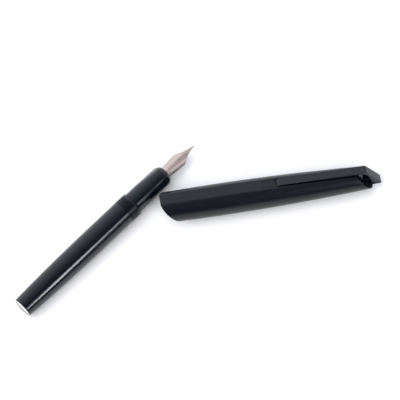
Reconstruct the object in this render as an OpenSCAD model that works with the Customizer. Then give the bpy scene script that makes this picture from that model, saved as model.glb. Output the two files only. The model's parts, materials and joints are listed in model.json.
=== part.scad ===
// Fountain pen lying uncapped beside its cap.
// The pen is turned parts on one axis; the cap is a tapered tube cut obliquely at both ends,
// with a flat along its top and a folded strip clip that wraps the nose.
// Row frame: +X along the cap from mouth to nose, +Z up, z = 0 is the table,
// origin at the middle of the whole layout. Units: mm.

/* [Barrel] */
// length from the tail to the front of the ribbed collar
barrel_len = 72.3; // [68:0.1:78]
// largest radius of the barrel
barrel_r = 6.02; // [5.6:0.01:6.4]
// radius at the tail
tail_r = 4.95; // [4.5:0.01:5.4]
// length over which the barrel tapers to the tail
taper_len = 48; // [30:1:60]
// bore radius for the converter
barrel_bore_r = 4.15; // [3.9:0.01:4.3]
// length of the ribbed collar
collar_len = 5.9; // [4:0.1:8]
// outer radius of the ribbed collar
collar_r = 6.05; // [5.8:0.01:6.3]
// number of grooves in the collar
collar_grooves = 6; // [3:1:8]

/* [Grip] */
// radius of the grip at the barrel
grip_rear_r = 5.43; // [5:0.01:5.8]
// radius of the grip near the nib
grip_front_r = 5.06; // [4.6:0.01:5.4]
// length of the grip outside the barrel
grip_len = 21.9; // [18:0.1:26]
// angle of each finger flat from the top of the grip
flat_angle = 56; // [40:1:70]
// depth of each finger flat at the front
flat_depth = 0.55; // [0.2:0.05:0.8]

/* [Nib] */
// length of the nib outside the grip
nib_len = 18.9; // [16:0.1:22]
// half of the nib's width at the shoulders
nib_half_w = 3.5; // [3:0.05:4.2]
// half of the nib's width where it leaves the grip
nib_base_half_w = 2.45; // [2:0.05:3]
// distance from the grip to the shoulders
nib_shoulder = 9.4; // [7:0.1:12]
// thickness of the nib sheet
nib_t = 0.25; // [0.2:0.01:0.4]
// turn of the nib about the pen's axis
nib_roll = 4; // [0:1:12]

/* [Cap] */
// length of the cap body measured on its axis, to the middle of the oblique nose
cap_axis_end = 98.1; // [94:0.1:104]
// distance from the cap's reference end to the middle of the oblique mouth
cap_mouth_mid = 5.3; // [3:0.1:8]
// largest outer radius of the cap
cap_r = 7.65; // [7.2:0.01:8.2]
// position of the largest radius
cap_belly = 30; // [20:1:40]
// drop of the outer radius per square millimetre from the belly
cap_curve = 0.00044; // [0.0003:0.00001:0.0006]
// depth of the long top flat below the round surface
flat_sink = 0.6; // [0.3:0.05:0.9]
// slope of the two oblique end cuts, axial run per unit height
end_slope = 0.76; // [0.5:0.01:1]
// bore radius of the cap's mouth
cap_bore_r = 6.14; // [6.1:0.01:6.4]
// inner radius of the clutch ring
clutch_r = 6.12; // [6.07:0.01:6.2]
// radius of the hollow in the nose
nose_hollow_r = 5.0; // [4:0.1:5.1]
// depth of the hollow in the nose, along the axis
nose_hollow = 3.2; // [1:0.1:5]
// height of the nose screw above the cap's axis
screw_n = 1.5; // [1:0.1:3]
// radius of the nose screw's head
screw_head_r = 2.0; // [1:0.05:2.1]
// reach of the screw's head beyond the oblique end, along the axis
screw_proud = 0.5; // [-1:0.1:1]

/* [Clip] */
// position of the clip's free end
clip_start = 55.9; // [50:0.1:62]
// position of the fold at the top of the nose
clip_fold = 98.8; // [96:0.1:103]
// clip width at the free end
clip_w_free = 4.1; // [3.6:0.1:5]
// clip width at the fold
clip_w_fold = 4.2; // [3.6:0.1:4.8]
// thickness of the clip blade
clip_t = 0.8; // [0.6:0.05:1.2]
// height of the blade above the flat, behind its dipped free end
clip_rise = 0.66; // [0.2:0.02:1]
// width of the slot at the clip's free end
slot_w_free = 5.5; // [4.8:0.1:6]
// width of the slot at the nose
slot_w_nose = 4.9; // [4.6:0.1:5.4]

/* [Converter] */
// outer radius of the clear tube
tube_r = 3.6; // [3.2:0.05:3.8]
// inner radius of the clear tube
tube_bore_r = 3.05; // [2.6:0.01:3.2]

/* [Layout] */
// turn of the pen in plan
pen_yaw = 36.04; // [20:0.01:60]
// tail of the pen, X
pen_x = -86.985; // [-120:0.005:0]
// tail of the pen, Y
pen_y = -31.35; // [-80:0.01:0]
// cap reference end, X
cap_x = -16.185; // [-40:0.005:10]
// cap axis, Y
cap_y = 6.48; // [-10:0.01:30]
// roll of the cap, its flat leaning away
cap_roll = 16; // [0:1:30]

/* [Hidden] */
eps = 0.01;
big = 160;
barrel_end = barrel_len - collar_len;
grip_start = barrel_len + 0.08;
grip_end = barrel_len + grip_len;
nib_end = grip_end + nib_len;
pen_z = collar_r;
cap_z = cap_r;
peg_n = -2.3;
peg_r = 0.75;
pitch = 1.0;

function taper(s) = s >= taper_len ? barrel_r : barrel_r - (barrel_r - tail_r) * pow(1 - s / taper_len, 2.2);
function cap_out(u) = cap_r - cap_curve * (u - cap_belly) * (u - cap_belly);
function flat_n(u) = cap_out(u) - flat_sink;

// ---------- helpers ----------

// a turned solid along +X from [radius, position] points
module turned(pts, fn = 96) {
    rotate([0, 90, 0])
        rotate_extrude($fn = fn)
            polygon(pts);
}

// a round bar along +X from a to b
module bar(r, a, b, fn = 96) {
    translate([a, 0, 0])
        rotate([0, 90, 0])
            cylinder(r = r, h = b - a, $fn = fn);
}

// a side profile (x, z) given width w across Y
module slab(pts, w) {
    translate([0, w / 2, 0])
        rotate([90, 0, 0])
            linear_extrude(height = w)
                polygon(pts);
}

module in_pen() {
    translate([pen_x, pen_y, pen_z])
        rotate([0, 0, pen_yaw])
            children();
}

module in_cap() {
    translate([cap_x, cap_y, cap_z])
        rotate([-cap_roll, 0, 0])
            children();
}

// ---------- barrel ----------

module barrel() {
    n = 16;
    outer = concat(
        [[0, 0], [tail_r - 0.15, 0]],
        [for (i = [0 : n]) [taper(max(0.15, taper_len * i / n)), max(0.15, taper_len * i / n)]],
        [[barrel_r, barrel_end - 0.05], [0, barrel_end - 0.05]]
    );
    color([0.05, 0.055, 0.07])
        in_pen()
            difference() {
                turned(outer);
                bar(4.35, -1, 2.6);
                bar(barrel_bore_r, 3.3, 55);
                bar(5.15, 55 - eps, barrel_end + 1);
            }
}

module rib_collar() {
    groove_pitch = (collar_len - 1.5) / collar_grooves;
    color([0.06, 0.065, 0.08])
        in_pen()
            difference() {
                turned([[0, barrel_end], [collar_r - 0.1, barrel_end], [collar_r, barrel_end + 0.1],
                        [collar_r, barrel_len - 0.2], [collar_r - 0.2, barrel_len], [0, barrel_len]]);
                bar(5.15, barrel_end - 1, barrel_len + 1);
                for (i = [0 : collar_grooves - 1])
                    translate([barrel_end + 0.25 + i * groove_pitch, 0, 0])
                        rotate([0, 90, 0])
                            rotate_extrude($fn = 96)
                                polygon([[collar_r - 0.22, 0.2], [collar_r + 0.1, 0],
                                         [collar_r + 0.1, 0.44], [collar_r - 0.22, 0.24]]);
            }
}

// brass bush that carries the thread and holds the collar on the barrel
module barrel_insert() {
    color([0.72, 0.58, 0.28])
        in_pen()
            difference() {
                bar(5.1, 55.1, barrel_len - 0.1);
                bar(4.6, 54, barrel_len + 1);
                bar(4.86, barrel_len - 2.1, barrel_len + 1);
            }
}

module tail_plug() {
    color([0.8, 0.8, 0.82])
        in_pen()
            turned([[0, 0.12], [4.1, 0.12], [4.3, 0.3], [4.3, 2.5], [0, 2.5]]);
}

// ---------- grip section ----------

module finger_flat(side) {
    run = grip_end - (grip_start + 7);
    lean = atan((flat_depth + 0.3) / run);
    rotate([side * flat_angle, 0, 0])
        translate([grip_start + 7, 0, grip_rear_r - 0.05])
            rotate([0, lean, 0])
                translate([-1, -6, 0])
                    cube([run + 6, 12, 4]);
}

module section() {
    g = grip_end;
    outer = [
        [0, 60], [4.2, 60], [4.5, 60.4], [4.5, 69.6], [4.25, 69.7], [4.25, grip_start - 0.3],
        [4.25, grip_start], [grip_rear_r - 0.15, grip_start], [grip_rear_r, grip_start + 0.15],
        [grip_rear_r, grip_start + 6], [grip_front_r + 0.1, g - 8], [grip_front_r, g - 3.4],
        [grip_front_r - 0.13, g - 2.3], [4.62, g - 1.4], [4.15, g - 0.65], [3.6, g - 0.12], [3.3, g], [0, g]
    ];
    color([0.03, 0.045, 0.075])
        in_pen()
            difference() {
                turned(outer);
                bar(3.75, 59, 78.5);
                bar(4.0, 78.5 - eps, g - 1.6);
                bar(3.12, g - 2, g + 1);
                for (side = [-1, 1])
                    finger_flat(side);
                for (i = [0 : 7])
                    translate([61 + i * pitch, 0, 0])
                        rotate([0, 90, 0])
                            rotate_extrude($fn = 96)
                                polygon([[4.15, 0.2], [4.7, 0], [4.7, 0.5], [4.15, 0.3]]);
            }
}

module section_o_ring() {
    color([0.08, 0.08, 0.08])
        in_pen()
            translate([barrel_len - 1.2, 0, 0])
                rotate([0, 90, 0])
                    rotate_extrude($fn = 72)
                        translate([4.55, 0])
                            circle(r = 0.27, $fn = 24);
}

// sleeve that grips nib and feed, with the ink nipple at its back
module nib_housing() {
    g = grip_end;
    color([0.1, 0.1, 0.11])
        in_pen()
            difference() {
                union() {
                    bar(3.93, 79.2, g - 1.7);
                    bar(1.9, 72.6, 79.3, 48);
                }
                bar(3.06, 80.5, g);
                bar(0.7, 72, 81, 32);
            }
}

// ---------- nib and feed ----------

// the sheet's curved surface: a straight sleeve inside the grip, then a widening cone that dips forward
module nib_form(grow) {
    g = grip_end;
    bar(3.0 + grow, 82, g + 0.6);
    translate([g, 0, 0])
        rotate([0, 13.2, 0])
            rotate([0, 90, 0])
                cylinder(r1 = 2.95 + grow - 0.12, r2 = 2.95 + grow + 2.75, h = 20.5, $fn = 96);
}

module nib_plan(extra) {
    g = grip_end;
    h = nib_half_w + extra;
    b = nib_base_half_w + extra;
    sh = nib_shoulder;
    tip = nib_len - 0.35;
    half = [[82.5 - g, 2.2], [-1.2, 2.2], [0, b], [sh * 0.3, b + (h - b) * 0.38], [sh * 0.62, b + (h - b) * 0.76],
            [sh - 0.9, h - 0.1], [sh, h], [sh + 0.6, h - 0.22], [sh + 1.8, h - 0.95], [sh + 3.4, h - 1.72],
            [sh + 5.2, h - 2.4], [sh + 7, h - 2.88], [tip, 0.3]];
    n = len(half);
    both = concat(half, [for (i = [0 : n - 1]) [half[n - 1 - i][0], -half[n - 1 - i][1]]]);
    translate([g, 0, 0])
        polygon(both);
}

module nib() {
    g = grip_end;
    color([0.72, 0.69, 0.67])
        in_pen()
            rotate([nib_roll, 0, 0])
                difference() {
                    intersection() {
                        nib_form(0);
                        linear_extrude(height = 6)
                            nib_plan(0);
                    }
                    nib_form(-nib_t);
                    translate([g + 8.6, -0.05, -4])
                        cube([14, 0.1, 10]);
                    translate([g + 8.6, 0, -1])
                        cylinder(r = 0.3, h = 8, $fn = 32);
                }
}

module nib_tip() {
    color([0.8, 0.8, 0.8])
        in_pen()
            rotate([nib_roll, 0, 0])
                difference() {
                    translate([nib_end - 0.32, 0, 0.98])
                        sphere(r = 0.32, $fn = 32);
                    translate([nib_end - 1.2, -1, 0])
                        cube([0.86, 2, 3]);
                }
}

module feed() {
    g = grip_end;
    color([0.06, 0.06, 0.06])
        in_pen()
            rotate([nib_roll, 0, 0])
                difference() {
                    union() {
                        bar(2.68, 81, g + 0.2);
                        intersection() {
                            translate([g, 0, 0])
                                rotate([0, 13.2, 0])
                                    rotate([0, 90, 0])
                                        cylinder(r1 = 2.53, r2 = 5.4, h = 20.5, $fn = 96);
                            translate([0, 0, -3])
                                linear_extrude(height = 7)
                                    translate([g, 0, 0])
                                        polygon([[-1, -2.2], [0.3, -2.35], [5, -2.95], [8.4, -3.2], [9.2, -2.6],
                                                 [10.4, -1.6], [13.6, -0.7], [13.6, 0.7], [10.4, 1.6],
                                                 [9.2, 2.6], [8.4, 3.2], [5, 2.95], [0.3, 2.35], [-1, 2.2]]);
                            slab([[g - 1, -1.9], [g + 4, -1.7], [g + 13.6, 0.35], [g + 13.6, 4], [g - 1, 4]], 12);
                        }
                    }
                    bar(0.7, 80, 84, 32);
                    for (i = [0 : 6])
                        translate([84 + i * 1.2, -4, -4])
                            cube([0.45, 8, 3.4]);
                    for (i = [0 : 4])
                        translate([g + 1.2 + i * 1.1, -5, -4])
                            cube([0.4, 10, 3.1 + i * 0.14]);
                }
}

// ---------- converter ----------

module converter_mouth() {
    color([0.12, 0.12, 0.13])
        in_pen()
            difference() {
                turned([[0, 60.5], [tube_bore_r - 0.05, 60.5], [tube_bore_r - 0.05, 64.02], [tube_r, 64.02],
                        [tube_r, 70], [3.4, 70.4], [3.4, 76.2], [3.2, 76.5], [0, 76.5]], 72);
                bar(1.95, 72.2, 80, 48);
                bar(0.8, 60, 73, 32);
            }
}

module converter_tube() {
    color([0.85, 0.9, 0.95, 0.4])
        in_pen()
            difference() {
                bar(tube_r, 31, 64, 72);
                bar(tube_bore_r, 30, 65, 72);
            }
}

module converter_collar() {
    color([0.75, 0.76, 0.78])
        in_pen()
            difference() {
                turned([[0, 16.2], [3.7, 16.2], [3.9, 16.4], [3.9, 33.4], [3.75, 33.6], [0, 33.6]], 72);
                bar(tube_r + 0.03, 30.9, 34, 72);
                bar(2.3, 15, 24, 48);
                bar(1.1, 20, 32, 32);
            }
}

module converter_seal() {
    color([0.1, 0.1, 0.1])
        in_pen()
            difference() {
                turned([[0, 35.6], [2.8, 35.6], [3.0, 35.8], [3.0, 36.5], [2.8, 36.7], [2.8, 37.5],
                        [3.0, 37.7], [3.0, 38.4], [2.8, 38.6], [0, 38.6]], 72);
                bar(0.9, 35, 37.6, 32);
            }
}

module converter_rod() {
    color([0.7, 0.7, 0.72])
        in_pen()
            difference() {
                bar(0.88, 12.2, 37.5, 32);
                for (i = [0 : 5])
                    translate([14 + i * 3, 0, 0])
                        rotate([0, 90, 0])
                            rotate_extrude($fn = 32)
                                polygon([[0.72, 0.3], [1, 0], [1, 1], [0.72, 0.7]]);
            }
}

module converter_knob() {
    color([0.12, 0.12, 0.13])
        in_pen()
            difference() {
                turned([[0, 7.6], [2.9, 7.6], [3.4, 8.1], [3.4, 15.8], [3.2, 16.1], [2.2, 16.1],
                        [2.2, 22], [0, 22]], 72);
                bar(1.0, 11, 23, 32);
                for (i = [0 : 15])
                    rotate([i * 22.5, 0, 0])
                        translate([9, 0, 3.45])
                            rotate([0, 90, 0])
                                cylinder(r = 0.25, h = 6, $fn = 16);
            }
}

// ---------- cap ----------

// everything on the nose side of the oblique plane whose middle is at mid
module beyond_cut(mid) {
    h = 14;
    slab([[mid + end_slope * h, -h], [mid - end_slope * h, h], [mid + big, h], [mid + big, -h]], 40);
}

module cap_body_solid() {
    n = 18;
    last = 106;
    outer = concat([[0, -2]], [for (i = [0 : n]) [cap_out(-2 + i * (last + 2) / n), -2 + i * (last + 2) / n]],
                   [[0, last]]);
    intersection() {
        turned(outer, 120);
        difference() {
            beyond_cut(cap_mouth_mid);
            beyond_cut(cap_axis_end);
        }
    }
}

// the space above the long top flat
module above_flat() {
    n = 12;
    low = [for (i = [0 : n]) [-4 + i * 112 / n, flat_n(-4 + i * 112 / n)]];
    slab(concat(low, [[108, 12], [-4, 12]]), 20);
}

// slot under and beside the clip blade
module clip_slot() {
    a = clip_start - 0.3;
    intersection() {
        slab([[a, 5.65], [80, 5.38], [97.5, 4.45], [108, 4.45], [108, 12], [a, 12]], 12);
        translate([0, 0, 3])
            linear_extrude(height = 9)
                polygon([[a, -slot_w_free / 2], [98, -slot_w_nose / 2], [108, -slot_w_nose / 2],
                         [108, slot_w_nose / 2], [98, slot_w_nose / 2], [a, slot_w_free / 2]]);
    }
}

module cap_shell() {
    color([0.07, 0.075, 0.085])
        in_cap()
            difference() {
                cap_body_solid();
                above_flat();
                clip_slot();
                bar(cap_bore_r, -5, 28.2);
                bar(6.5, 28, 34.35);
                bar(5.6, 34, 54.5);
                bar(4.95, 54, 80);
                bar(3.9, 86, 110, 72);
                intersection() {
                    bar(nose_hollow_r, 88, 112);
                    beyond_cut(cap_axis_end - nose_hollow);
                }
                translate([49.25, -1.92, flat_n(52) - 0.8])
                    cube([6, 3.84, 4]);
            }
}

module clip() {
    f = clip_fold;
    a = clip_start;
    foot = flat_n(a) + 0.02;
    top_a = flat_n(a + 2.4) + clip_rise;
    top_f = 7.16;
    side = [
        [a, foot - clip_t], [a, foot - 0.3], [a + 0.2, foot], [a + 2.1, top_a - 0.06], [a + 2.7, top_a],
        [f - 0.7, top_f], [f - 0.2, top_f - 0.1], [f + 0.2, top_f - 0.45],
        [106.0, -2.6], [105.9, -2.95], [105.6, -3.1], [101.4, -3.45], [101.15, -0.9], [100.65, 1.8],
        [99.4, 4.3], [98.6, 5.3], [97.8, 5.9], [96.6, top_f - clip_t - 0.1],
        [a + 6, top_a - clip_t + 0.02], [a + 3.2, top_a - clip_t - 0.08], [a + 1.2, foot - clip_t]
    ];
    color([0.08, 0.085, 0.1])
        in_cap() {
            intersection() {
                slab(side, 12);
                translate([0, 0, -6])
                    linear_extrude(height = 16)
                        polygon([[a, -clip_w_free / 2], [f, -clip_w_fold / 2], [106.5, -clip_w_fold / 2 - 0.1],
                                 [106.5, clip_w_fold / 2 + 0.1], [f, clip_w_fold / 2], [a, clip_w_free / 2]]);
            }
            translate([0, 0, peg_n])
                bar(peg_r, 93.4, 102, 48);
        }
}

module clip_pad() {
    color([0.07, 0.07, 0.08])
        in_cap()
            difference() {
                translate([49.4, -1.77, flat_n(52) - 0.75])
                    cube([5.7, 3.54, 3]);
                translate([0, 0, -0.03])
                    above_flat();
            }
}

module inner_cap() {
    color([0.12, 0.12, 0.12])
        in_cap()
            difference() {
                turned([[0, 54.8], [4.6, 54.8], [4.9, 55.1], [4.9, 79.7], [0, 79.7]]);
                bar(4.25, 54, 78.5);
            }
}

module clutch_ring() {
    color([0.72, 0.58, 0.28])
        in_cap()
            difference() {
                bar(6.46, 28.05, 34.3);
                bar(clutch_r, 27, 35);
                for (i = [0 : 3])
                    translate([29.2 + i * 1.2, 0, 0])
                        rotate([0, 90, 0])
                            rotate_extrude($fn = 96)
                                polygon([[clutch_r - 0.1, 0], [clutch_r + 0.12, 0.2], [clutch_r + 0.12, 0.5],
                                         [clutch_r - 0.1, 0.7]]);
            }
}

// frame parallel to the oblique end, out of it by d along the axis, +Z away from the cap
module on_end(d, n_pos) {
    translate([cap_axis_end + d - end_slope * n_pos, 0, n_pos])
        rotate([0, 90 - atan(end_slope), 0])
            children();
}

module end_plug() {
    color([0.06, 0.06, 0.07])
        in_cap()
            difference() {
                bar(3.85, 86.1, 110, 72);
                beyond_cut(cap_axis_end - nose_hollow - 0.05);
                translate([0, 0, peg_n])
                    bar(peg_r + 0.2, 93, 112, 48);
                on_end(-nose_hollow, screw_n)
                    translate([0, 0, -4])
                        cylinder(r = 0.8, h = 6, $fn = 32);
            }
}

module end_screw() {
    top = 0.8 * (nose_hollow + screw_proud);
    color([0.08, 0.085, 0.1])
        in_cap()
            on_end(-nose_hollow, screw_n)
                difference() {
                    union() {
                        translate([0, 0, 0.06])
                            cylinder(r = screw_head_r, h = top - 0.06, $fn = 72);
                        translate([0, 0, -3.5])
                            cylinder(r = 0.72, h = 3.6, $fn = 32);
                    }
                    translate([-4, -0.25, top - 0.12])
                        cube([8, 0.5, 1]);
                }
}

barrel();
rib_collar();
barrel_insert();
tail_plug();
section();
section_o_ring();
nib_housing();
nib();
nib_tip();
feed();
converter_mouth();
converter_tube();
converter_collar();
converter_seal();
converter_rod();
converter_knob();
cap_shell();
clip();
clip_pad();
inner_cap();
clutch_ring();
end_plug();
end_screw();
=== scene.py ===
import json
import math

import bmesh
import bpy
from mathutils import Matrix, Vector


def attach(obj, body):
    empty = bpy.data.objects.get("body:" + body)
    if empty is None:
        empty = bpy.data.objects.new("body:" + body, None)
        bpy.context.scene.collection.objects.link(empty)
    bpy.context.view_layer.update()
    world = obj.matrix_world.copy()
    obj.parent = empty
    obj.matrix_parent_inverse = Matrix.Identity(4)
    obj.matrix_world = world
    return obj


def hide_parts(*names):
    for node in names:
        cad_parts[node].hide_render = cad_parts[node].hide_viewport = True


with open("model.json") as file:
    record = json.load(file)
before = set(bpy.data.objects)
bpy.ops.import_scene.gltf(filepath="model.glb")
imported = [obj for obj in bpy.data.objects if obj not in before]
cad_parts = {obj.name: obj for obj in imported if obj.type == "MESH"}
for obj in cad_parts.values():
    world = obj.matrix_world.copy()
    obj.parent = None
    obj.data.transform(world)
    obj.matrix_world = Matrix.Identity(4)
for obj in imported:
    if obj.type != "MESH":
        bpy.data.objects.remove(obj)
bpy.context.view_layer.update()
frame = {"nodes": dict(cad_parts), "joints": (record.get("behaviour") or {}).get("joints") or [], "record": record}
MM = 0.001
UP = Vector((0, 0, 1))


# ---------------------------------------------------------------- the two local frames

def joint(name):
    return next(j for j in frame["joints"] if j["name"] == name)


def mount(name):
    return next(m for m in frame["record"]["mounts"] if m["name"] == name)


def axes(origin, x, y):
    """A frame with its origin there, x along the piece and y across it."""
    x, y = Vector(x).normalized(), Vector(y).normalized()
    z = x.cross(y).normalized()
    y = z.cross(x)
    m = Matrix((x, y, z)).transposed().to_4x4()
    m.translation = origin
    return m


TAIL_GAP = 0.12       # the tail disc's face stands this far in from the pen's end, mm
BORE_POINT = 18.0     # where on the cap's axis the bore's mount is stated, mm
pen_dir = Vector(joint("nib_pull")["axis"])
cap_dir = Vector(joint("cap_slide")["axis"])
pen_end = Vector(mount("tail_face")["pos_m"]) - pen_dir * TAIL_GAP * MM
cap_zero = Vector(mount("cap_bore")["pos_m"]) - cap_dir * BORE_POINT * MM
PEN = axes(pen_end, pen_dir, UP.cross(pen_dir))
CAP = axes(cap_zero, cap_dir, joint("clip_flex")["axis"])


# ---------------------------------------------------------------- sizes in mm

# places along the pen are measured from its tail
BARREL_LEN = 72.3
BARREL_R = 6.02                        # in front of the tapered part
TAPER_LEN, TAPER_DROP = 48, 1.07       # length of the tapered part, and how much its radius falls to the tail
FRONT_BORE_R, BACK_BORE_R = 5.15, 4.15
BORE_STEP, BORE_END = 55, 3.3          # where the bore narrows, and where it ends
SEAT_R, SEAT_DEEP = 4.35, 2.6          # the tail disc's seat
DISC_R, DISC_BACK = 4.3, 2.5           # the disc's radius, and how far in its back lies

COLLAR_LEN, COLLAR_R = 5.9, 6.05
RINGS, RING_CUT = 6, 0.22              # grooves in the collar, and their depth

GRIP_START = BARREL_LEN + 0.08
GRIP_END = BARREL_LEN + 21.9
GRIP_R = 5.43
FLAT_TURN = math.radians(56)           # how far each finger flat is turned from the top
FLAT_BACK, FLAT_SINK = 7, 0.85         # its start from the grip's back, and how far it sinks to the front
SPIGOT_START, SPIGOT_R = 60, 4.5       # the threaded spigot inside the barrel
THREADS, THREAD_CUT = 8, 0.33          # its grooves, 1 mm apart, and their depth
SEAL_R = 4.25                          # the neck that carries the O-ring
INK_R = 3.75                           # the bore for the converter
HOUSING_R, HOUSING_START = 4.0, 78.5   # the wider bore for the nib's housing
GRIP_MOUTH_R = 3.12

NIB_LEN = 18.9
NIB_ROLL = math.radians(4)
NIB_THICK = 0.25
NIB_SLEEVE_R, NIB_SLEEVE_LEN = 3.0, 12             # the part inside the grip
NIB_BASE, NIB_HALF, SHOULDER = 2.45, 3.5, 9.4      # half widths at the grip and at the shoulders
CONE_R, CONE_GROW = 2.83, 2.87 / 20.5              # the sheet's radius at the grip, and what it gains per mm
CONE_DIP = math.radians(13.2)                      # how far the cone's axis dips forward
HOLE_X, HOLE_R, SLIT_HALF = 8.6, 0.3, 0.05         # the breather hole, and half the width of the slit
TIP_R, TIP_HEIGHT = 0.32, 0.98                     # the pellet, and its height above the pen's axis

# places along the cap are measured from the zero of its own frame
MOUTH_MID, NOSE_MID, SLOPE = 5.3, 98.1, 0.76       # oblique ends: where they cross the axis, and their slope
CAP_R, CAP_WIDEST, CAP_BOW = 7.65, 30, 0.00044     # radius where it is widest, and how fast it falls off
FLAT_CUT = 0.6                                     # the flat along the top lies this far below the round
CAP_BORE_R, CAP_BORE_END = 6.14, 28                # the plain bore behind the mouth
RING_SEAT_R, RING_SEAT_END = 6.5, 34.35            # the seat of the clutch ring
GRIP_ROOM_R, GRIP_ROOM_END = 5.6, 54.5             # the room for the grip
LINER_R, LINER_END = 4.95, 80                      # the seat of the inner cap
HOLLOW, HOLLOW_R, HOLLOW_TOP = 3.2, 5.0, 4.3       # the hollow in the nose: depth, radius, height of its roof
PLUG_R, PLUG_END = 3.9, 86                         # the end plug's seat behind the hollow, and where it ends
CAP_EDGE = 0.14                                    # how much the cap's end edges are rounded

CLIP_START, CLIP_FOLD, CLIP_THICK = 55.9, 98.8, 0.8
CLIP_TOP = 7.16                                    # height of the blade where it folds down
SLOT_START = 55.6
SLOT_WALL = 0.985                                  # the last column before the wall, as a part of the width
PEG_HEIGHT, PEG_R, PEG_START, PEG_END = -2.3, 0.75, 93.4, 101.6
PAD_START, PAD_END, PAD_HALF = 49.4, 55.1, 1.77
PAD_MID = 52                                       # where the height of the flat is taken for the pad
POCKET_GAP = 0.15                                  # between the clip pad and its pocket


# ---------------------------------------------------------------- mesh helpers

MERGE = 1e-7      # points nearer than this become one, m


def smooth(t):
    t = min(1.0, max(0.0, t))
    return t * t * (3 - 2 * t)


def lerp(a, b, t):
    return a + (b - a) * t


def soft_min(a, b, k):
    """The smaller of two, with the corner between them eased over k."""
    h = max(k - abs(a - b), 0.0) / k
    return min(a, b) - h * h * k * 0.25


def spread(points, x):
    """A smooth curve through (x, y) points: monotone cubic."""
    if x <= points[0][0]:
        return points[0][1]
    if x >= points[-1][0]:
        return points[-1][1]
    xs, ys = [p[0] for p in points], [p[1] for p in points]
    i = max(j for j in range(len(xs) - 1) if xs[j] <= x)
    d = [(ys[j + 1] - ys[j]) / (xs[j + 1] - xs[j]) for j in range(len(xs) - 1)]

    def slope(j):
        if j == 0:
            return d[0]
        if j == len(d):
            return d[-1]
        return 0.0 if d[j - 1] * d[j] <= 0 else 2 * d[j - 1] * d[j] / (d[j - 1] + d[j])

    h = xs[i + 1] - xs[i]
    t = (x - xs[i]) / h
    return ((2 * t**3 - 3 * t**2 + 1) * ys[i] + (t**3 - 2 * t**2 + t) * h * slope(i)
            + (-2 * t**3 + 3 * t**2) * ys[i + 1] + (t**3 - t**2) * h * slope(i + 1))


def rings_to_mesh(rings, closed=False):
    """Quads between rings of equal length that go right round. A ring of one point is a pole."""
    verts, starts = [], []
    for r in rings:
        starts.append(len(verts))
        verts += r
    faces = []
    pairs = list(zip(range(len(rings)), range(1, len(rings))))
    if closed:
        pairs.append((len(rings) - 1, 0))
    for a, b in pairs:
        ra, rb, sa, sb = rings[a], rings[b], starts[a], starts[b]
        n = max(len(ra), len(rb))
        for i in range(n):
            k = (i + 1) % n
            if len(ra) == 1:
                faces.append((sa, sb + k, sb + i))
            elif len(rb) == 1:
                faces.append((sa + i, sa + k, sb))
            else:
                faces.append((sa + i, sa + k, sb + k, sb + i))
    return verts, faces


def ring(s, radius, n):
    """n points round the axis at s. radius is a number or a function of the angle from the top."""
    angles = (2 * math.pi * i / n for i in range(n))
    polar = [(radius(t) if callable(radius) else radius, t) for t in angles]
    return [(s, r * math.sin(t), r * math.cos(t)) for r, t in polar]


def turned(profile, n, closed=False):
    """A turned body from (s, r) points. Points on the axis become poles."""
    rings = [[(s, 0, 0)] if r == 0 else ring(s, r, n) for s, r in profile]
    return rings_to_mesh(rings, closed)


def to_object(name, mesh, place, material, sharp):
    """Points in mm in a local frame become an object in metres that sits in that frame.
    Edges sharper than that angle stay sharp."""
    verts, faces = mesh
    me = bpy.data.meshes.new(name)
    me.from_pydata([Vector(v) * MM for v in verts], [], faces)
    me.validate()
    bm = bmesh.new()
    bm.from_mesh(me)
    bmesh.ops.remove_doubles(bm, verts=bm.verts, dist=MERGE)
    if bm.calc_volume(signed=True) < 0:
        bmesh.ops.reverse_faces(bm, faces=bm.faces)
    bm.to_mesh(me)
    bm.free()
    me.polygons.foreach_set("use_smooth", [True] * len(me.polygons))
    me.set_sharp_from_angle(angle=math.radians(sharp))
    me.materials.append(material)
    me.update()
    o = bpy.data.objects.new(name, me)
    bpy.context.scene.collection.objects.link(o)
    o.matrix_world = place
    return o


def round_edges(o, width, segments, angle):
    b = o.modifiers.new("edges", "BEVEL")
    b.width, b.segments = width * MM, segments
    b.limit_method, b.angle_limit = "ANGLE", math.radians(angle)
    return b


def add_piece(name, mesh, place, node, body, slot, sharp=30):
    """Makes the object that stands in for a CAD node and rides on its body."""
    o = to_object(name, mesh, place, MAT[slot], sharp)
    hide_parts(node)
    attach(o, body)
    return o


# ---------------------------------------------------------------- shader helpers

def new_material(name):
    m = bpy.data.materials.new(name)
    m.use_nodes = True
    nt = m.node_tree
    return m, nt, nt.nodes["Principled BSDF"]


def feed(nt, value, entry):
    """Links another node's output to an input, or sets the input to a constant."""
    if isinstance(value, bpy.types.NodeSocket):
        nt.links.new(value, entry)
    elif entry.type == "RGBA":
        entry.default_value = (*value, 1)
    else:
        entry.default_value = value


def math_node(nt, operation, *values):
    m = nt.nodes.new("ShaderNodeMath")
    m.operation = operation
    for value, entry in zip(values, m.inputs):
        feed(nt, value, entry)
    return m.outputs[0]


def vector_node(nt, operation, *values):
    m = nt.nodes.new("ShaderNodeVectorMath")
    m.operation = operation
    for value, entry in zip(values, m.inputs):
        feed(nt, value, entry)
    return m.outputs["Value" if operation in ("DOT_PRODUCT", "LENGTH") else "Vector"]


def times(nt, a, b):
    return math_node(nt, "MULTIPLY", a, b)


def parts_of(nt, vec):
    xyz = nt.nodes.new("ShaderNodeSeparateXYZ")
    nt.links.new(vec, xyz.inputs[0])
    return xyz.outputs


def local_mm(nt):
    """Object coordinates in millimetres."""
    place = nt.nodes.new("ShaderNodeTexCoord").outputs["Object"]
    return vector_node(nt, "MULTIPLY", place, (1 / MM, 1 / MM, 1 / MM))


def local_normal(nt):
    return nt.nodes.new("ShaderNodeTexCoord").outputs["Normal"]


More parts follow.
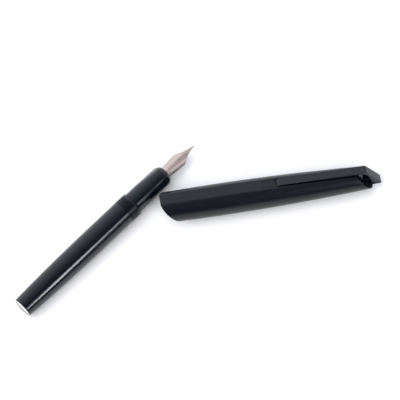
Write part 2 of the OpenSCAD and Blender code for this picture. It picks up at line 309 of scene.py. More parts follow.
def noise(nt, vec, scale, detail=3.0, rough=0.6, stretch=None):
    if stretch:
        mp = nt.nodes.new("ShaderNodeMapping")
        mp.inputs["Scale"].default_value = stretch
        nt.links.new(vec, mp.inputs["Vector"])
        vec = mp.outputs["Vector"]
    n = nt.nodes.new("ShaderNodeTexNoise")
    n.inputs["Scale"].default_value = scale
    n.inputs["Detail"].default_value = detail
    n.inputs["Roughness"].default_value = rough
    nt.links.new(vec, n.inputs["Vector"])
    return n.outputs["Fac"]


def ranged(nt, value, lo, hi, a=0.0, b=1.0):
    """Goes from lo to hi while the value goes from a to b."""
    r = nt.nodes.new("ShaderNodeMapRange")
    r.inputs["From Min"].default_value = a
    r.inputs["From Max"].default_value = b
    r.inputs["To Min"].default_value = lo
    r.inputs["To Max"].default_value = hi
    nt.links.new(value, r.inputs["Value"])
    return r.outputs["Result"]


def mixed(nt, fac, a, b, blend="MIX"):
    m = nt.nodes.new("ShaderNodeMix")
    m.data_type, m.blend_type = "RGBA", blend
    for value, entry in ((fac, "Factor"), (a, "A"), (b, "B")):
        feed(nt, value, m.inputs[entry])
    return m.outputs["Result"]


def bump(nt, height, strength, depth):
    """A bump of that depth in mm."""
    b = nt.nodes.new("ShaderNodeBump")
    b.inputs["Strength"].default_value = strength
    b.inputs["Distance"].default_value = depth * MM
    nt.links.new(height, b.inputs["Height"])
    return b.outputs["Normal"]


def scaled(colour, k):
    return tuple(min(1, c * k) for c in colour)


# ---------------------------------------------------------------- recesses where the gloss is taken away as painted shade

def near_axis(nt, vec, radius, soft):
    """1 where the surface lies nearer the local X axis than radius."""
    across = vector_node(nt, "MULTIPLY", vec, (0, 1, 1))
    return ranged(nt, vector_node(nt, "LENGTH", across), 1, 0, radius - soft, radius)


def in_hollow(nt, vec):
    """1 on the walls of the hollow in the cap's nose, where the gloss is taken away as painted shade."""
    ahead = ranged(nt, parts_of(nt, vec)["X"], 0, 1, PLUG_END, PLUG_END + 2)
    return times(nt, near_axis(nt, vec, HOLLOW_R + 0.06, 0.04), ahead)


def in_grooves(nt, vec):
    """1 in the grooves between the collar's rings, where the gloss is taken away as painted shade."""
    return near_axis(nt, vec, COLLAR_R - 0.01, 0.06)


def on_fold_sides(nt, vec):
    """1 on the peg and on the part of the folded end that stands in the hollow, apart from its outer face. There
    the gloss is taken away as painted shade.
    """
    place, normal = parts_of(nt, vec), parts_of(nt, local_normal(nt))
    reach = vector_node(nt, "DOT_PRODUCT", vec, (1, 0, SLOPE))
    behind = ranged(nt, reach, 1, 0, NOSE_MID + 2.7, NOSE_MID + 4.2)      # not in the strip's outer layer
    ahead = ranged(nt, place["X"], 0, 1, 92, 93)                          # not on the blade
    under = ranged(nt, place["Z"], 1, 0, 3.6, 4.6)                        # below the roof of the hollow
    not_front = ranged(nt, normal["X"], 1, 0, 0.3, 0.5)
    return times(nt, times(nt, times(nt, behind, ahead), under), not_front)


# ---------------------------------------------------------------- kinds of finish

PLATED = (0.85, 0.85, 0.86)
NO_GLOSS = 0.05


def coated(name, dark, light, rough, spec=0.5, grain=6.0, depth=0.004, strength=0.3,
           shade_mask=None, bright_end=None):
    """Black coating over metal: slight mottling of colour and gloss, and a grain of its own.
    The recess mask, a function of (nt, vec), gives 1 where the gloss is taken away as painted shade.
    Below bright_end on the local X axis the metal shows."""
    m, nt, p = new_material(name)
    vec = local_mm(nt)
    cloud = noise(nt, vec, 0.35, 4.0)
    colour = mixed(nt, ranged(nt, cloud, 0, 1, 0.3, 0.7), dark, light)
    if bright_end:
        shows = ranged(nt, parts_of(nt, vec)["X"], 1, 0, bright_end - 0.03, bright_end)
        colour = mixed(nt, shows, colour, PLATED)
        nt.links.new(shows, p.inputs["Metallic"])
    nt.links.new(colour, p.inputs["Base Color"])
    nt.links.new(ranged(nt, cloud, rough - 0.03, rough + 0.03, 0.25, 0.75), p.inputs["Roughness"])
    p.inputs["Specular IOR Level"].default_value = spec
    # painted shade: in the recesses the gloss falls almost to nothing, so they render dark
    if shade_mask:
        nt.links.new(ranged(nt, shade_mask(nt, vec), spec, NO_GLOSS), p.inputs["Specular IOR Level"])
    nt.links.new(bump(nt, noise(nt, vec, grain, 2.0), strength, depth), p.inputs["Normal"])
    return m


def metal(name, colour, rough, stretch=None):
    """Polished or turned metal. stretch draws its grain out along an axis."""
    m, nt, p = new_material(name)
    vec = local_mm(nt)
    fine = noise(nt, vec, 8.0, 3.0, 0.65, stretch)
    cloud = noise(nt, vec, 0.5, 3.0, 0.5)
    tone = mixed(nt, ranged(nt, cloud, 0, 1, 0.3, 0.7), scaled(colour, 0.86), colour)
    nt.links.new(tone, p.inputs["Base Color"])
    nt.links.new(ranged(nt, fine, rough * 0.8, rough * 1.25, 0.25, 0.75), p.inputs["Roughness"])
    p.inputs["Metallic"].default_value = 1.0
    nt.links.new(bump(nt, fine, 0.25, 0.003), p.inputs["Normal"])
    return m


def plastic(name, colour, rough, clear=0.0):
    m, nt, p = new_material(name)
    fine = noise(nt, local_mm(nt), 5.0)
    p.inputs["IOR"].default_value = 1.49
    p.inputs["Transmission Weight"].default_value = clear
    nt.links.new(mixed(nt, fine, scaled(colour, 0.8), colour), p.inputs["Base Color"])
    nt.links.new(ranged(nt, fine, rough * 0.85, rough * 1.2), p.inputs["Roughness"])
    nt.links.new(bump(nt, fine, 0.2, 0.004), p.inputs["Normal"])
    return m


def wave(nt, vec, direction, pitch):
    """Sine of the position along a direction, -1 to 1."""
    turns = tuple(2 * math.pi / pitch * c for c in direction)
    return math_node(nt, "SINE", vector_node(nt, "DOT_PRODUCT", vec, turns))


def crossed_hatch(nt, vec, start, end):
    """Two crossed waves over the middle of the nib, between two places along it."""
    place, pitch = parts_of(nt, vec), 0.85
    cross = times(nt, wave(nt, vec, (0.7, 0.7, 0), pitch), wave(nt, vec, (0.7, -0.7, 0), pitch))
    begins = ranged(nt, place["X"], 0, 1, start, start + 1.5)
    ends = ranged(nt, place["X"], 1, 0, end - 1.5, end)
    middle = ranged(nt, place["Y"], 1, 0, 0.6, 1.6)
    return times(nt, cross, times(nt, times(nt, begins, ends), middle))


def engraved_steel_with_painted_shade(name, colour, edge, rough):
    """Satin steel with a fine crossed hatch over part of its length, and painted shade by which way the surface
    faces: dimmer flanks, nearly black underside and cut edges.
    """
    m, nt, p = new_material(name)
    vec = local_mm(nt)
    hatch = crossed_hatch(nt, vec, GRIP_END - 1, GRIP_END + 11)
    tone = mixed(nt, ranged(nt, hatch, 0, 1, -1, 1), scaled(colour, 0.80), scaled(colour, 1.16))
    # painted shade: the colour dims on the flanks and goes nearly black on the underside and cut edges, by the way
    # the surface faces
    facing = parts_of(nt, local_normal(nt))["Z"]
    flank_shade = mixed(nt, ranged(nt, facing, 0, 1, 0.6, 0.98), scaled(colour, 0.70), colour)
    shade = mixed(nt, ranged(nt, facing, 0, 1, 0.35, 0.55), edge, flank_shade)
    nt.links.new(mixed(nt, 1.0, shade, tone, "MULTIPLY"), p.inputs["Base Color"])
    fine = noise(nt, vec, 10.0, 3.0, 0.65, (0.3, 1, 1))
    nt.links.new(ranged(nt, fine, rough * 0.85, rough * 1.15, 0.25, 0.75), p.inputs["Roughness"])
    p.inputs["Metallic"].default_value = 1.0
    nt.links.new(bump(nt, hatch, 0.35, 0.02), p.inputs["Normal"])
    return m


# ---------------------------------------------------------------- the materials

def barrel_coat():
    """Smooth satin lacquer. The cut rim at the tail is uncoated metal."""
    return coated("barrel_coat", (0.0016, 0.0018, 0.0060), (0.0022, 0.0024, 0.0072), 0.20,
                  grain=9.0, depth=0.002, strength=0.15, bright_end=0.06)


def collar_coat():
    # painted shade: the grooves between the rings lose their gloss
    return coated("collar_coat", (0.0018, 0.0020, 0.0058), (0.0026, 0.0028, 0.0070), 0.28, shade_mask=in_grooves)


def grip_gloss():
    return coated("grip_gloss", (0.0008, 0.0030, 0.0064), (0.0012, 0.0038, 0.0076), 0.19,
                  grain=4.0, depth=0.002, strength=0.1)


def cap_coat(name="cap_coat", shade_mask=in_hollow):
    """Fine-textured matt coating; in the hollow of the nose its gloss is taken away as painted shade."""
    return coated(name, (0.0020, 0.0026, 0.0068), (0.0030, 0.0036, 0.0080), 0.35,
                  spec=0.39, grain=9.0, depth=0.012, shade_mask=shade_mask)


def pad_coat():
    return cap_coat("pad_coat", shade_mask=None)


def clip_coat():
    # painted shade: the peg and the folded end's sides in the hollow lose their gloss
    return coated("clip_coat", (0.0018, 0.0024, 0.0066), (0.0028, 0.0034, 0.0080), 0.40,
                  grain=10.0, depth=0.01, strength=0.35, shade_mask=on_fold_sides)


MAT = {
    "barrel_coat": barrel_coat(),
    "collar_coat": collar_coat(),
    "grip_gloss": grip_gloss(),
    "cap_coat": cap_coat(),
    "clip_coat": clip_coat(),
    "pad_coat": pad_coat(),
    "brass": metal("brass", (0.72, 0.56, 0.28), 0.28, (1, 8, 8)),
    "bright_disc": metal("bright_disc", (0.86, 0.86, 0.87), 0.12),
    "nib_steel": engraved_steel_with_painted_shade("nib_steel", (0.855, 0.785, 0.745), (0.03, 0.03, 0.03), 0.48),
    "tipping": metal("tipping", (0.42, 0.42, 0.43), 0.2),
    "plated_sleeve": metal("plated_sleeve", (0.8, 0.8, 0.82), 0.14),
    "rod_steel": metal("rod_steel", (0.66, 0.66, 0.68), 0.3),
    "seal_rubber": plastic("seal_rubber", (0.012, 0.012, 0.012), 0.6),
    "black_plastic": plastic("black_plastic", (0.010, 0.010, 0.011), 0.4),
    "feed_plastic": plastic("feed_plastic", (0.008, 0.008, 0.008), 0.45),
    "clear_plastic": plastic("clear_plastic", (0.93, 0.96, 0.98), 0.05, clear=1.0),
}


# ---------------------------------------------------------------- pen pieces

def taper(s):
    """Radius of the barrel s mm from its tail."""
    return BARREL_R - TAPER_DROP * max(0.0, 1 - s / TAPER_LEN) ** 2.2


def make_barrel():
    end, tail, steps = BARREL_LEN - COLLAR_LEN - 0.05, taper(0), 70
    seat = [(SEAT_DEEP, 0), (SEAT_DEEP, SEAT_R), (0.06, SEAT_R), (0, SEAT_R + 0.06)]
    rim = [(0, tail - 0.16), (0.05, tail - 0.06), (0.14, tail)]
    side = [(s, taper(s)) for s in (lerp(0.3, end - 0.06, i / steps) for i in range(steps + 1))]
    front = [(end, BARREL_R - 0.05), (end, FRONT_BORE_R)]
    bore = [(BORE_STEP, FRONT_BORE_R), (BORE_STEP, BACK_BORE_R), (BORE_END, BACK_BORE_R), (BORE_END, 0)]
    mesh = turned(seat + rim + side + front + bore, 192)
    add_piece("pen_barrel", mesh, PEN, "barrel", "barrel", "barrel_coat")


def make_collar():
    start, end, r, low = BARREL_LEN - COLLAR_LEN, BARREL_LEN, COLLAR_R, COLLAR_R - RING_CUT
    pitch = (COLLAR_LEN - 1.5) / RINGS
    profile = [(start, FRONT_BORE_R), (start, r - 0.1), (start + 0.1, r)]
    for i in range(RINGS):
        s = start + 0.25 + i * pitch
        profile += [(s + 0.03, r), (s + 0.12, low), (s + 0.34, low), (s + 0.43, r)]
    profile += [(end - 0.22, r), (end - 0.12, r - 0.05), (end - 0.03, r - 0.13), (end, r - 0.24)]
    profile += [(end, FRONT_BORE_R)]
    mesh = turned(profile, 192, closed=True)
    add_piece("pen_collar", mesh, PEN, "rib_collar", "barrel", "collar_coat")


def make_tail_disc():
    """A slightly domed face with a rounded edge."""
    g, r = TAIL_GAP, DISC_R
    face = [(g, 0), (g + 0.005, 1.5), (g + 0.02, 3.2), (g + 0.04, r - 0.3)]
    edge = [(g + 0.08, r - 0.16), (g + 0.15, r - 0.06), (g + 0.24, r)]
    mesh = turned(face + edge + [(DISC_BACK, r), (DISC_BACK, 0)], 128)
    add_piece("tail_disc", mesh, PEN, "tail_plug", "barrel", "bright_disc", 40)


def grip_radius(s):
    """Radius of the grip: a slight taper, then a rounded front."""
    back = [(GRIP_START + 0.15, GRIP_R), (GRIP_START + 6, GRIP_R - 0.03)]
    front = [(8, 5.16), (3.4, 5.06), (2.3, 4.93), (1.4, 4.62), (0.65, 4.15), (0.12, 3.6), (0, 3.32)]
    return spread(back + [(GRIP_END - ahead, r) for ahead, r in front], s)


def grip_outline(s):
    """Radius of the grip as a function of the angle, with its two finger flats."""
    flat_start = GRIP_START + FLAT_BACK
    flat = GRIP_R - 0.05 - (s - flat_start) * FLAT_SINK / (GRIP_END - flat_start)

    def radius(t):
        r = grip_radius(s)
        for side in (-1, 1):
            c = math.cos(t - side * FLAT_TURN)
            if c > 0.2:
                r = soft_min(r, flat / c, 0.06)
        return r
    return radius


def spigot_profile():
    """(s, r) from the back of the section to the shoulder where the grip starts."""
    top, low = SPIGOT_R, SPIGOT_R - THREAD_CUT
    profile = [(SPIGOT_START, INK_R), (SPIGOT_START, top - 0.3), (SPIGOT_START + 0.4, top)]
    for i in range(THREADS):
        s = SPIGOT_START + 1 + i
        profile += [(s, top), (s + 0.18, low), (s + 0.32, low), (s + 0.5, top)]
    neck = SPIGOT_START + 9.6
    profile += [(neck, top), (neck + 0.1, SEAL_R), (GRIP_START, SEAL_R)]
    return profile + [(GRIP_START, GRIP_R - 0.15), (GRIP_START + 0.05, GRIP_R - 0.06)]


def make_section():
    n, nose = 288, GRIP_END - 3.4
    flat_start = GRIP_START + FLAT_BACK
    steps = [GRIP_START + 0.15 + i * 0.5 for i in range(14)]
    steps += [flat_start - 0.5 + i * 0.22 for i in range(int((nose - 0.1 - flat_start) / 0.22))]
    steps = sorted(set(steps)) + [nose + i * 0.1 for i in range(34)] + [GRIP_END]
    end, hole, lip = GRIP_END, GRIP_MOUTH_R, 1.8
    mouth = [(end - 0.03, hole + 0.04), (end - 0.12, hole), (end - lip, hole), (end - lip, HOUSING_R)]
    inside = [(HOUSING_START, HOUSING_R), (HOUSING_START, INK_R)]
    rings = [ring(s, r, n) for s, r in spigot_profile()]
    rings += [ring(s, grip_outline(s), n) for s in steps]
    rings += [ring(s, r, n) for s, r in mouth + inside]
    mesh = rings_to_mesh(rings, closed=True)
    add_piece("pen_grip", mesh, PEN, "section", "section", "grip_gloss")


# ---------------------------------------------------------------- cap pieces

def cap_radius(u):
    """Radius of the round part of the cap."""
    return CAP_R - CAP_BOW * (u - CAP_WIDEST) ** 2


def flat_height(u):
    """Height of the flat along the top."""
    return cap_radius(u) - FLAT_CUT


def slot_half(u):
    """Half the width of the clip's slot."""
    return lerp(2.75, 2.45, (u - SLOT_START) / (98 - SLOT_START))


def slot_floor(u):
    return spread([(56, 5.65), (80, 5.38), (97.5, 4.45), (108, 4.45)], u)


def pocket_floor(u):
    return flat_height(PAD_MID) - 0.8


def lean_at(row):
    """How far the cross rows lean: fully at the oblique ends, not at all between them."""
    near_mouth = 1 - smooth((row - MOUTH_MID) / 30)
    near_nose = smooth((row - 68) / (NOSE_MID - 68))
    return SLOPE * (near_mouth + near_nose)


def on_row(row, height):
    """The place along the cap on a leaning row, where height(u) gives how far above the axis it is."""
    u = row
    for _ in range(12):
        u = row - lean_at(row) * height(u)
    return u


def columns():
    """Half of the columns, from the middle of the flat to the keel: (kind, value)."""
    start_of_round = (-0.02, 0.0, 0.012, 0.024, 0.04, 0.07)
    cols = [("slot", t) for t in (0.0, 0.25, 0.5, 0.75, SLOT_WALL)]
    cols += [("edge", t) for t in (0.0, 0.5)]
    return cols + [("round", t) for t in (*start_of_round, *(lerp(0.1, 1.0, i / 56) for i in range(57)))]


PLAIN, SLOTTED, POCKETED = 0, 1, 2


def cap_row(row, level=PLAIN, skin=0.0):
    """One ring of the cap's outside: plain, with the clip's slot or with the pad's pocket.
    skin sets the surface in by that much."""
    pocket = PAD_HALF + POCKET_GAP
    inner = pocket if level == POCKETED else slot_half(max(row, SLOT_START))
    if level == PLAIN:
        inner = lerp(pocket, slot_half(SLOT_START), smooth((row - PAD_END - POCKET_GAP) / 0.3))
    floor = pocket_floor if level == POCKETED else slot_floor

    def top(u):
        return flat_height(u) - skin

    def round_at(u, t):
        """Angle and radius on the round part, t of the way from the flat's edge to the keel."""
        r = cap_radius(u) - skin
        edge = math.acos(top(u) / r)
        angle = edge + (math.pi - edge) * t
        return angle, soft_min(r, top(u) / max(math.cos(angle), 0.05), 0.06)

    def round_height(t):
        def height(u):
            angle, r = round_at(u, t)
            return r * math.cos(angle)
        return height

    half = []
    for kind, t in columns():
        if kind == "round":
            u = on_row(row, round_height(t))
            angle, r = round_at(u, t)
            half.append((u, r * math.sin(angle), r * math.cos(angle)))
        elif kind == "slot" and level != PLAIN:
            u = on_row(row, floor)
            half.append((u, inner * t / SLOT_WALL, floor(u)))
        else:
            u = on_row(row, top)
            r = cap_radius(u) - skin
            rim = max(inner + 0.02, math.sqrt(r * r - top(u) ** 2) - 0.12)
            half.append((u, inner * t if kind == "slot" else lerp(inner, rim, t), top(u)))
    return mirrored(half)


def mirrored(half):
    """A full ring from a half that starts on the top centre line and ends on the bottom one."""
    return half + [(u, -w, n) for u, w, n in half[-2:0:-1]]


def bore_row(row, r, like):
    """A ring of radius r, or r(angle), at the same angles as another."""
    out = []
    for _, w, n in like:
        a = math.atan2(w, n)
        k = r(a) if callable(r) else r
        out.append((row - lean_at(row) * k * math.cos(a), k * math.sin(a), k * math.cos(a)))
    return out


def roofed(r):
    """The outline of the hollow: round with a flat roof."""
    def radius(a):
        return min(r, HOLLOW_TOP / max(math.cos(a), 0.1))
    return radius


def cap_inside(like):
    """Rows from the far end of the bore to the mouth."""
    steps = [(LINER_END, LINER_R), (GRIP_ROOM_END, LINER_R), (GRIP_ROOM_END, GRIP_ROOM_R)]
    steps += [(RING_SEAT_END, GRIP_ROOM_R), (RING_SEAT_END, RING_SEAT_R), (CAP_BORE_END, RING_SEAT_R)]
    steps += [(row, CAP_BORE_R) for row in (CAP_BORE_END, 22, 14, MOUTH_MID + 0.1)]
    steps += [(MOUTH_MID, CAP_BORE_R + 0.1)]
    return [[(LINER_END, 0, 0)]] + [bore_row(row, r, like) for row, r in steps]


def cap_nose(like):
    """Rows from the rim of the nose down into its hollow and to the plug's seat."""
    deep, bevel = NOSE_MID - HOLLOW, 0.06
    rows = [bore_row(NOSE_MID, roofed(HOLLOW_R + bevel), like)]
    rows += [bore_row(row, roofed(HOLLOW_R), like) for row in (NOSE_MID - bevel, deep)]
    rows += [bore_row(deep, PLUG_R, like)]
    rows += [[(PLUG_END, w, n) for _, w, n in rows[-1]]]
    return rows + [[(PLUG_END, 0, 0)]]


def stepped(start, end, step):
    """Places from start to just before end."""
    places = []
    while start < end:
        places.append(start)
        start += step
    return places


def make_cap_shell():
    e, step = CAP_EDGE, 0.8
    a, b = PAD_START - POCKET_GAP, PAD_END + POCKET_GAP
    like = cap_row(MOUTH_MID)
    rows = cap_inside(like)
    rows += [cap_row(MOUTH_MID, skin=e), cap_row(MOUTH_MID + 0.05, skin=e * 0.35), cap_row(MOUTH_MID + e)]
    rows += [cap_row(row) for row in stepped(MOUTH_MID + step, a - 0.05, step)]
    rows += [cap_row(a - 0.02), cap_row(a, POCKETED), cap_row((a + b) / 2, POCKETED), cap_row(b, POCKETED)]
    rows += [cap_row(b + 0.02), cap_row(SLOT_START - 0.15), cap_row(SLOT_START - 0.02)]
    rows += [cap_row(SLOT_START, SLOTTED), cap_row(SLOT_START + 0.5, SLOTTED)]
    rows += [cap_row(row, SLOTTED) for row in stepped(SLOT_START + 1.2, NOSE_MID - 0.5, step)]
    rows += [cap_row(NOSE_MID - e, SLOTTED), cap_row(NOSE_MID - 0.05, SLOTTED, e * 0.35)]
    rows += [cap_row(NOSE_MID, SLOTTED, e)] + cap_nose(like)
    add_piece("cap_tube", rings_to_mesh(rows), CAP, "cap_shell", "cap", "cap_coat")


def strip_mesh(side, half_width):
    """A side profile of (u, n) points given a width that depends on u."""
    n = len(side)
    verts = [(u, -half_width(u), z) for u, z in side] + [(u, half_width(u), z) for u, z in side]
    faces = [tuple(range(n - 1, -1, -1)), tuple(range(n, 2 * n))]
    faces += [(i, (i + 1) % n, n + (i + 1) % n, n + i) for i in range(n)]
    return verts, faces


def joined(first, second):
    """Two meshes as one."""
    verts, faces = first
    more, more_faces = second
    return verts + more, faces + [tuple(i + len(verts) for i in face) for face in more_faces]


def clip_side():
    """The folded strip from the side: its free end, the top, the fold down, and back underneath."""
    a, f, t = CLIP_START, CLIP_FOLD, CLIP_THICK
    foot, back, front = flat_height(a) + 0.02, flat_height(a + 2.4) + 0.66, CLIP_TOP
    free_end = [(a, foot - t), (a, foot - 0.26), (a + 0.08, foot - 0.1), (a + 0.3, foot + 0.06)]
    free_end += [(a + 1.9, back - 0.12), (a + 2.3, back - 0.03), (a + 2.8, back)]
    top = [(u, lerp(back, front, (u - a - 2.8) / (f - a - 3.6))) for u in (a + 12, a + 22, a + 32, f - 0.8)]
    fold = [(f - 0.35, front - 0.06), (f, front - 0.22), (f + 0.25, front - 0.5)]
    point = [(106.0, -2.6), (105.95, -2.85), (105.75, -3.05), (105.5, -3.1), (101.4, -3.45)]
    behind = [(101.15, -0.9), (100.65, 1.8), (99.4, 4.3), (98.6, 5.3), (97.8, 5.9), (96.6, front - t - 0.1)]
    under = [(a + 6, back - t + 0.02), (a + 3.2, back - t - 0.08), (a + 1.2, foot - t)]
    return free_end + top + fold + point + behind + under


def clip_half(u):
    """Half the width of the strip."""
    if u < CLIP_FOLD:
        return lerp(2.05, 2.1, (u - CLIP_START) / (CLIP_FOLD - CLIP_START))
    return lerp(2.1, 2.2, (u - CLIP_FOLD) / (106.5 - CLIP_FOLD))


def make_clip():
    a, b, r = PEG_START, PEG_END, PEG_R
    points, faces = turned([(a, 0), (a, r - 0.1), (a + 0.1, r), (b, r), (b, 0)], 40)
    peg = [(u, w, n + PEG_HEIGHT) for u, w, n in points], faces
    mesh = joined(strip_mesh(clip_side(), clip_half), peg)
    o = add_piece("pocket_clip", mesh, CAP, "clip", "clip", "clip_coat", 40)
    round_edges(o, 0.1, 3, 28).harden_normals = True


def pad_half(u):
    return PAD_HALF


def make_clip_pad():
    base = flat_height(PAD_MID) - 0.75
    top = [(u, flat_height(u) - 0.03) for u in (lerp(PAD_START, PAD_END, i / 12) for i in range(13))]
    mesh = strip_mesh([(PAD_START, base)] + top + [(PAD_END, base)], pad_half)
    o = add_piece("clip_pad_block", mesh, CAP, "clip_pad", "cap", "pad_coat", 40)
    round_edges(o, 0.07, 3, 28).harden_normals = True


# ---------------------------------------------------------------- nib

NIB = PEN @ Matrix.Rotation(NIB_ROLL, 4, "X")


def nib_half(x):
    """Half of the nib's width, x mm beyond the grip."""
    base, half, s = NIB_BASE, NIB_HALF, SHOULDER
    wings = [(-NIB_SLEEVE_LEN, 2.2), (-1.2, 2.2), (0, base), (0.3 * s, base + 0.4), (s - 3.57, base + 0.8)]
    wings += [(s - 0.9, half - 0.07), (s - 0.2, half - 0.02)]
    beyond = [(0.2, 0.14), (0.7, 0.38), (1.8, 0.95), (3.4, 1.72), (5.2, 2.4), (7, 2.88)]
    tines = [(s + ahead, half - less) for ahead, less in beyond]
    return spread(wings + tines + [(NIB_LEN - 0.9, 0.36), (NIB_LEN - 0.3, 0.27)], x)


def nib_height(x, y):
    """Top surface of the sheet: a sleeve inside the grip, then a widening cone that dips forward."""
    sleeve = math.sqrt(max(0.0, NIB_SLEEVE_R ** 2 - y * y))
    if x <= 0:
        return sleeve
    cos_dip, sin_dip = math.cos(CONE_DIP), math.sin(CONE_DIP)
    z = CONE_R
    for _ in range(30):
        along = x * cos_dip - z * sin_dip
        r = CONE_R + CONE_GROW * along
        across = math.sqrt(max(1e-6, r * r - y * y))
        z += (across - (x * sin_dip + z * cos_dip)) / cos_dip
    return lerp(sleeve, z, smooth(x / 1.6))


def slit_half(x):
    """Half the width of the opening along the middle of the nib: a small round hole, then the slit."""
    hole = math.sqrt(max(0.0, HOLE_R ** 2 - (x - HOLE_X) ** 2))
    return max(hole, SLIT_HALF if x > HOLE_X else 0.0)


def nib_places():
    """Places along the nib from the sleeve's end to the tip, close together round the hole."""
    xs = [i - NIB_SLEEVE_LEN for i in range(NIB_SLEEVE_LEN)] + [i * 0.25 for i in range(34)]
    xs += [HOLE_X - HOLE_R * math.cos(math.pi * i / 12) for i in range(13)]
    return xs + [9.0 + i * 0.2 for i in range(48)] + [NIB_LEN - 0.3]


def nib_section(x, side, n):
    """Points round one half of the sheet at x: over the top, then back underneath."""
    inner, outer = slit_half(x), nib_half(x)
    top, low = [], []
    for j in range(n + 1):
        t = 1 - (1 - j / n) ** 1.4               # points lie closer together toward the outer edge
        y = lerp(inner, outer, t)
        eased = 0.06 * smooth((t - 0.93) / 0.07)
        top.append((GRIP_END + x, side * y, nib_height(x, y) - eased))
        low.append((GRIP_END + x, side * y * 0.985, nib_height(x, y) - NIB_THICK))
    return top + low[::-1]


def make_nib():
    xs, n = nib_places(), 14
    per = 2 * (n + 1)
    verts, faces = [], []
    for side in (1, -1):
        base = len(verts)
        for x in xs:
            verts += nib_section(x, side, n)
        for i in range(len(xs) - 1):
            whole = xs[i + 1] <= HOLE_X - HOLE_R + 0.001      # the two halves meet here, with no wall between
            a, b = base + i * per, base + (i + 1) * per
            for j in range(per - 1 if whole else per):
                k = (j + 1) % per
                quad = (a + j, a + k, b + k, b + j)
                faces.append(quad if side == -1 else quad[::-1])
        for i, flip in ((0, False), (len(xs) - 1, True)):
            cap = tuple(base + i * per + j for j in range(per))
            faces.append(cap if flip == (side == -1) else cap[::-1])
    add_piece("nib_blade", (verts, faces), NIB, "nib", "writing_unit", "nib_steel", 40)


def make_nib_tip():
    """A small ball with the slit running on across it as a shallow groove."""
    x, r, n, m = GRIP_END + NIB_LEN - TIP_R, TIP_R, 24, 14
    rings = []
    for i in range(m + 1):
        a = math.pi * i / m
        s = x - r * math.cos(a)
        if i in (0, m):
            rings.append([(s, 0, TIP_HEIGHT)])
            continue
        points = []
        for j in range(n):
            b = 2 * math.pi * j / n
            y, h = r * math.sin(a) * math.sin(b), r * math.sin(a) * math.cos(b)
            if abs(y) < 0.04:
                h *= 0.86
            points.append((s, y, TIP_HEIGHT + h))
        rings.append(points)
    add_piece("nib_pellet", rings_to_mesh(rings), NIB, "nib_tip", "writing_unit", "tipping", 60)


# ---------------------------------------------------------------- the object

make_barrel()
make_collar()
make_tail_disc()
make_section()
make_cap_shell()
make_clip()
make_clip_pad()
make_nib()
make_nib_tip()

SLOT_OF = {s["node"]: s["material_slot"] for s in frame["record"]["subparts"]}
for name, o in frame["nodes"].items():
    o.data.materials.clear()
    o.data.materials.append(MAT[SLOT_OF[name]])
    if name in ("feed", "end_screw", "converter_knob", "clutch_ring"):
        round_edges(o, 0.04, 2, 35)


# ---------------------------------------------------------------- stage, light, camera

VIEW_TURN, VIEW_DOWN = math.radians(8.938), math.radians(72)
RIGHT = Vector((math.cos(VIEW_TURN), -math.sin(VIEW_TURN), 0))
AWAY = Vector((math.sin(VIEW_TURN), math.cos(VIEW_TURN), 0))
LOOK = AWAY * math.cos(VIEW_DOWN) - UP * math.sin(VIEW_DOWN)
TARGET = Vector((0.003565, 0.01011, 0))      # the point on the table in the middle of the picture
DISTANCE = 1.1905
HALF_VIEW = 0.08                             # tangent of half the angle of view
FLOOR_HALF = 12.0
FLOOR_GAP = 0.02                             # the floor lies this far under the object, mm


def make_camera():
    cam = bpy.data.cameras.new("camera")
    o = bpy.data.objects.new("camera", cam)
    bpy.context.scene.collection.objects.link(o)
    o.location = TARGET - LOOK * DISTANCE
    o.rotation_mode = "QUATERNION"
    o.rotation_quaternion = LOOK.to_track_quat("-Z", "Y")
    cam.sensor_width = 36
    cam.lens = cam.sensor_width / 2 / HALF_VIEW
    cam.clip_start, cam.clip_end = 0.05, 50
    bpy.context.scene.camera = o


def make_floor():
    me = bpy.data.meshes.new("floor")
    s = FLOOR_HALF
    me.from_pydata([(-s, -s, 0), (s, -s, 0), (s, s, 0), (-s, s, 0)], [], [(0, 1, 2, 3)])
    o = bpy.data.objects.new("floor", me)
    bpy.context.scene.collection.objects.link(o)
    o.location.z = -FLOOR_GAP * MM
    m, _, p = new_material("floor_paper")
    p.inputs["Base Color"].default_value = (0.9, 0.9, 0.9, 1)
    p.inputs["Roughness"].default_value = 0.9
    p.inputs["Specular IOR Level"].default_value = 0.1
    me.materials.append(m)


def add_lamp(name, width, length, power, colour):
    lamp = bpy.data.lights.new(name, "AREA")
    lamp.shape = "RECTANGLE"
    lamp.size, lamp.size_y = width, length
    lamp.energy = power
    lamp.color = colour
    o = bpy.data.objects.new(name, lamp)
    bpy.context.scene.collection.objects.link(o)
    return o


def make_overhead():
    """A big soft lamp nearly above, a little to the left and the near side. Reflections don't show it."""
    toward, size, far = (UP - RIGHT * 0.4 - AWAY * 0.3).normalized(), 1.6, 1.4
    o = add_lamp("overhead", size, size, 24.0, (0.99, 0.99, 1.0))
    o.location = toward * far
    o.rotation_mode = "QUATERNION"
    o.rotation_quaternion = (-toward).to_track_quat("-Z", "Y")
    o.visible_glossy = False


STRIP_AIM = Vector((-0.06, -0.012, 0))       # the place on the pen that the strips shine on
STRIP_FAR = 1.2                              # how far from it they stand


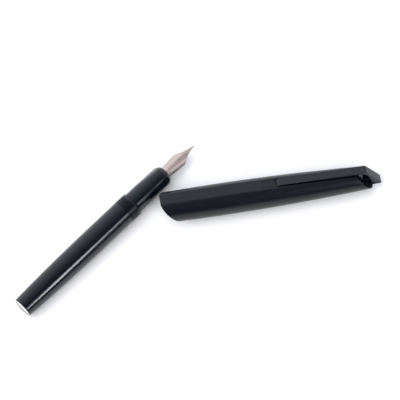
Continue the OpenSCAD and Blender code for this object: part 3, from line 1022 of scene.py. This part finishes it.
def make_strip(name, low, high, width, power):
    """A lamp to the right on the near side, its long middle line running between two directions.
    A direction is (degrees from above towards the near side, reach ahead along the pen).
    The pen mirrors the lamp as a long highlight."""
    across = pen_dir.cross(UP)

    def seen(angle, ahead):
        a = math.radians(angle)
        return pen_dir * ahead + (across * math.sin(a) + UP * math.cos(a)) * math.sqrt(1 - ahead * ahead)

    low, high = seen(*low), seen(*high)
    middle = (low + high).normalized()
    wide = (high - low).cross(middle).normalized()
    o = add_lamp(name, width, (high - low).length * STRIP_FAR, power, (0.96, 0.97, 1.04))
    o.matrix_world = Matrix((wide, middle.cross(wide), middle)).transposed().to_4x4()
    o.location = STRIP_AIM + middle * STRIP_FAR


ROOM_DARK, ROOM_AHEAD = 0.02, 0.5      # brightness on the near side, and what the part ahead of the nib adds
ROOM_BRIGHT, ROOM_POWER = 1.4, 2.1     # what the part beyond the pen adds, and how steeply it rises


def make_world():
    """A soft room: bright beyond the pen on the left, dark on the near side, fair ahead of the nib."""
    w = bpy.data.worlds.new("studio")
    bpy.context.scene.world = w
    w.use_nodes = True
    nt = w.node_tree
    way = nt.nodes.new("ShaderNodeTexCoord").outputs["Generated"]
    beyond = ranged(nt, vector_node(nt, "DOT_PRODUCT", way, UP.cross(pen_dir)), 0, 1, -1, 1)
    ahead = vector_node(nt, "DOT_PRODUCT", way, pen_dir)
    front = ranged(nt, ahead, ROOM_DARK, ROOM_DARK + ROOM_AHEAD, 0.35, 0.7)
    rise = math_node(nt, "POWER", beyond, ROOM_POWER)
    bg = nt.nodes["Background"]
    nt.links.new(math_node(nt, "MULTIPLY_ADD", rise, ROOM_BRIGHT, front), bg.inputs["Strength"])
    bg.inputs["Color"].default_value = (0.96, 0.98, 1.06, 1)


make_camera()
make_floor()
make_world()
make_overhead()
make_strip("strip", (64, 0.055), (48, 0.15), 0.14, 3.4)
make_strip("strip_front", (54, 0.19), (42, 0.30), 0.10, 0.25)
bpy.context.scene.view_settings.view_transform = "Standard"
bpy.context.scene.view_settings.look = "None"
bpy.context.scene.view_settings.exposure = 0.0
